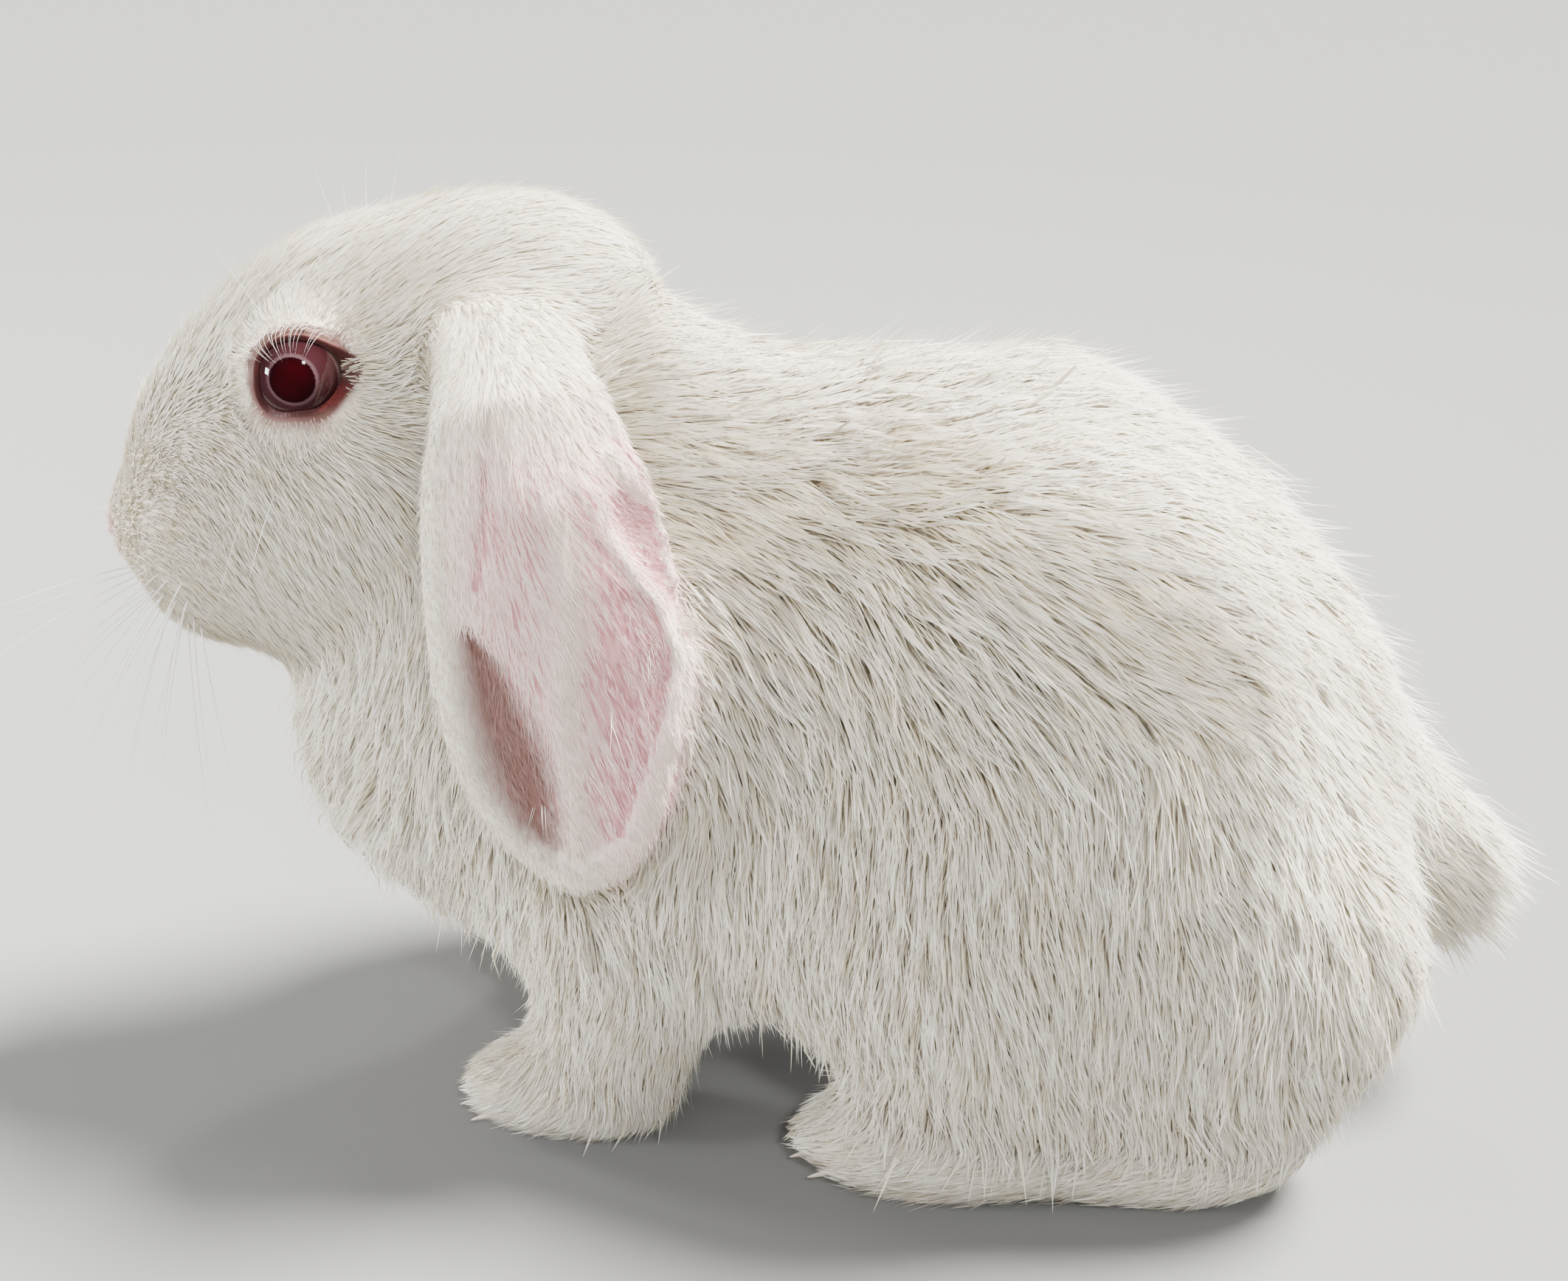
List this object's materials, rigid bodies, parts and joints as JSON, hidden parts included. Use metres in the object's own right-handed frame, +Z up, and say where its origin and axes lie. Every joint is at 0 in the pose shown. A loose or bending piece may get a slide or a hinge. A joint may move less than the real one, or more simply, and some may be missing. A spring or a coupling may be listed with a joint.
{
  "type": "lop rabbit",
  "caption": "Life-size still model of a white lop-eared rabbit with red eyes, standing with its head up and its ears hanging past its cheeks.",
  "frame": {"origin": "middle of the model's box, on the floor under the feet", "axes": "+Z up, -X towards the nose, +X towards the tail, -Y on the rabbit's left side"},
  "size_m": [0.3272, 0.1406, 0.2059],
  "materials": {
    "coat": "dense soft white fur with a warm cream shade in its depth",
    "skin": "thin pink skin under short white hair",
    "eye": "wet and glossy, dark red pupil in a mauve iris",
    "claw": "smooth pale horn"
  },
  "bodies": {
    "root": {"head": "coat", "neck": "coat", "trunk": "coat", "tail": "coat", "foreleg_left": "coat", "forepaw_left": "coat", "thigh_left": "coat", "hindfoot_left": "coat", "foreleg_right": "coat", "forepaw_right": "coat", "thigh_right": "coat", "hindfoot_right": "coat", "ear_left": "skin", "ear_right": "skin", "eye_left": "eye", "eye_right": "eye", "claw_fore_left_1": "claw", "claw_fore_left_2": "claw", "claw_fore_left_3": "claw", "claw_fore_left_4": "claw", "claw_hind_left_1": "claw", "claw_hind_left_2": "claw", "claw_hind_left_3": "claw", "claw_hind_left_4": "claw", "claw_fore_right_1": "claw", "claw_fore_right_2": "claw", "claw_fore_right_3": "claw", "claw_fore_right_4": "claw", "claw_hind_right_1": "claw", "claw_hind_right_2": "claw", "claw_hind_right_3": "claw", "claw_hind_right_4": "claw"}
  },
  "joints": []
}
